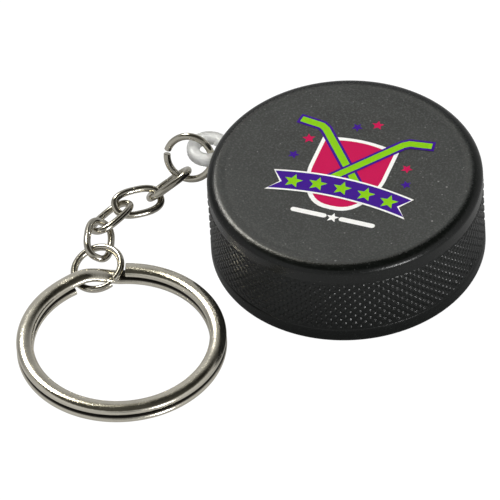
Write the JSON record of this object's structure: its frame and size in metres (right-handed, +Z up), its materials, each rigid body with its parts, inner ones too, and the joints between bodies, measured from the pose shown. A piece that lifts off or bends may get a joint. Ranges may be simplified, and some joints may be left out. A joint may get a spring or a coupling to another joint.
{
  "type": "hockey puck key chain",
  "caption": "Small foam hockey puck with a diamond-knurled rim, hung from a moulded clear eyelet on a short chain of wire links ending in a flat split key ring.",
  "frame": {"origin": "the middle of the puck's flat bottom face, on the surface that the puck and its chain lie on", "axes": "+Z up along the puck's axis; -X from the puck's axis towards its eyelet; the chain runs from the eyelet towards -Y"},
  "size_m": [0.0519, 0.0658, 0.014],
  "materials": {
    "foam": "satin",
    "clear_plastic": "gloss",
    "nickel": "polished"
  },
  "bodies": {
    "puck": {"puck_body": "foam", "eyelet": "clear_plastic"},
    "jump_ring": {"jump_ring": "nickel"},
    "chain_link_1": {"chain_link_1": "nickel"},
    "chain_link_2": {"chain_link_2": "nickel"},
    "chain_link_3": {"chain_link_3": "nickel"},
    "chain_link_4": {"chain_link_4": "nickel"},
    "end_ring": {"end_ring": "nickel"},
    "split_ring": {"split_ring": "nickel"}
  },
  "joints": [
    {"name": "jump_ring_tilt", "type": "hinge", "parent": "puck", "child": "jump_ring", "pos_m": [-0.02417, -0.00094, 0.00825], "axis": [-0.33, 0.944, 0], "range_deg": [-4, 80]},
    {"name": "link_1_swing", "type": "hinge", "parent": "jump_ring", "child": "chain_link_1", "pos_m": [-0.02533, -0.00298, 0.00412], "axis": [0.9343, 0.159, -0.3191], "range_deg": [-12, 90]},
    {"name": "link_2_swing", "type": "hinge", "parent": "chain_link_1", "child": "chain_link_2", "pos_m": [-0.02753, -0.00734, 0.00248], "axis": [0.6961, -0.155, 0.7011], "range_deg": [-41, 7]},
    {"name": "link_3_swing", "type": "hinge", "parent": "chain_link_2", "child": "chain_link_3", "pos_m": [-0.03023, -0.01172, 0.00243], "axis": [0.8435, -0.3702, -0.3892], "range_deg": [-6, 15]},
    {"name": "link_4_swing", "type": "hinge", "parent": "chain_link_3", "child": "chain_link_4", "pos_m": [-0.03049, -0.0163, 0.00249], "axis": [0.8962, 0.087, 0.4351], "range_deg": [-38, 14]},
    {"name": "end_ring_swing", "type": "hinge", "parent": "chain_link_4", "child": "end_ring", "pos_m": [-0.02797, -0.02042, 0.00196], "axis": [0.7589, 0.3999, -0.5139], "range_deg": [-10, 6]},
    {"name": "split_ring_swing", "type": "hinge", "parent": "end_ring", "child": "split_ring", "pos_m": [-0.02409, -0.02117, 0.00229], "axis": [-0.166, 0.952, 0.257], "range_deg": [0, 46]}
  ]
}
